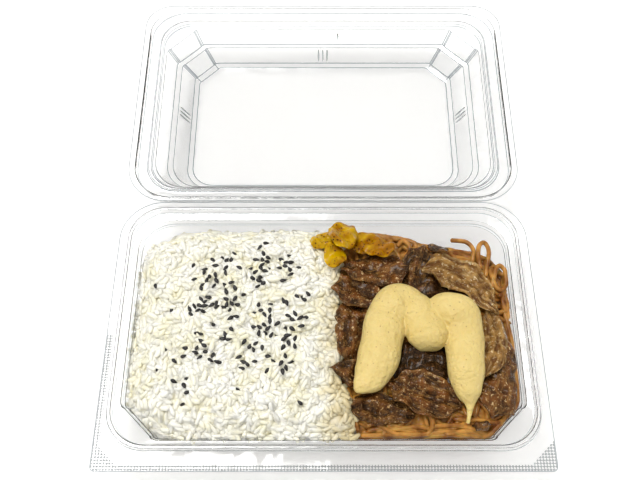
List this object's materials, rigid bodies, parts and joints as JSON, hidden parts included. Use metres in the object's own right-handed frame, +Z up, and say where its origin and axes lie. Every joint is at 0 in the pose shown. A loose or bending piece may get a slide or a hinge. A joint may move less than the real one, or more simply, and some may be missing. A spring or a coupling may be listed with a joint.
{
  "type": "bento box meal",
  "caption": "Clear hinged food box, open, filled with seeded white rice, fried noodles, saucy beef slices, yellow pickle and piped mayonnaise; the lid turns on its rear crease.",
  "frame": {"origin": "middle of the tray's flat underside, on the plane it stands on", "axes": "+X to the right as seen from the front edge, +Y from the front edge towards the hinge and the open lid, +Z up"},
  "size_m": [0.212, 0.2803, 0.0416],
  "materials": {
    "clear_sheet": "clear, smooth formed polystyrene sheet",
    "cooked_rice": "moist cooked white rice",
    "fried_noodles": "oily fried noodles",
    "braised_beef": "glossy thin beef slices in brown sauce",
    "yellow_pickle": "wet yellow pickle",
    "mayonnaise": "smooth cream-yellow mayonnaise"
  },
  "bodies": {
    "box": {"tray": "clear_sheet", "rice": "cooked_rice", "noodles": "fried_noodles", "beef_right_flat": "braised_beef", "beef_rear_middle": "braised_beef", "beef_middle": "braised_beef", "beef_left_upper": "braised_beef", "beef_left_middle": "braised_beef", "beef_left_lower": "braised_beef", "beef_rear_left": "braised_beef", "beef_rear_fold": "braised_beef", "beef_front_left": "braised_beef", "beef_under_arch": "braised_beef", "beef_right_strip": "braised_beef", "beef_arch": "braised_beef", "beef_front_wide": "braised_beef", "beef_chip": "braised_beef", "beef_curl": "braised_beef", "pickle_left": "yellow_pickle", "pickle_front": "yellow_pickle", "pickle_right": "yellow_pickle", "pickle_middle": "yellow_pickle", "sauce": "mayonnaise"},
    "lid": {"lid": "clear_sheet"}
  },
  "joints": [
    {"name": "lid_hinge", "type": "hinge", "parent": "box", "child": "lid", "pos_m": [0, 0.0717, 0.0262], "axis": [1, 0, 0], "range_deg": [0, 178]}
  ]
}
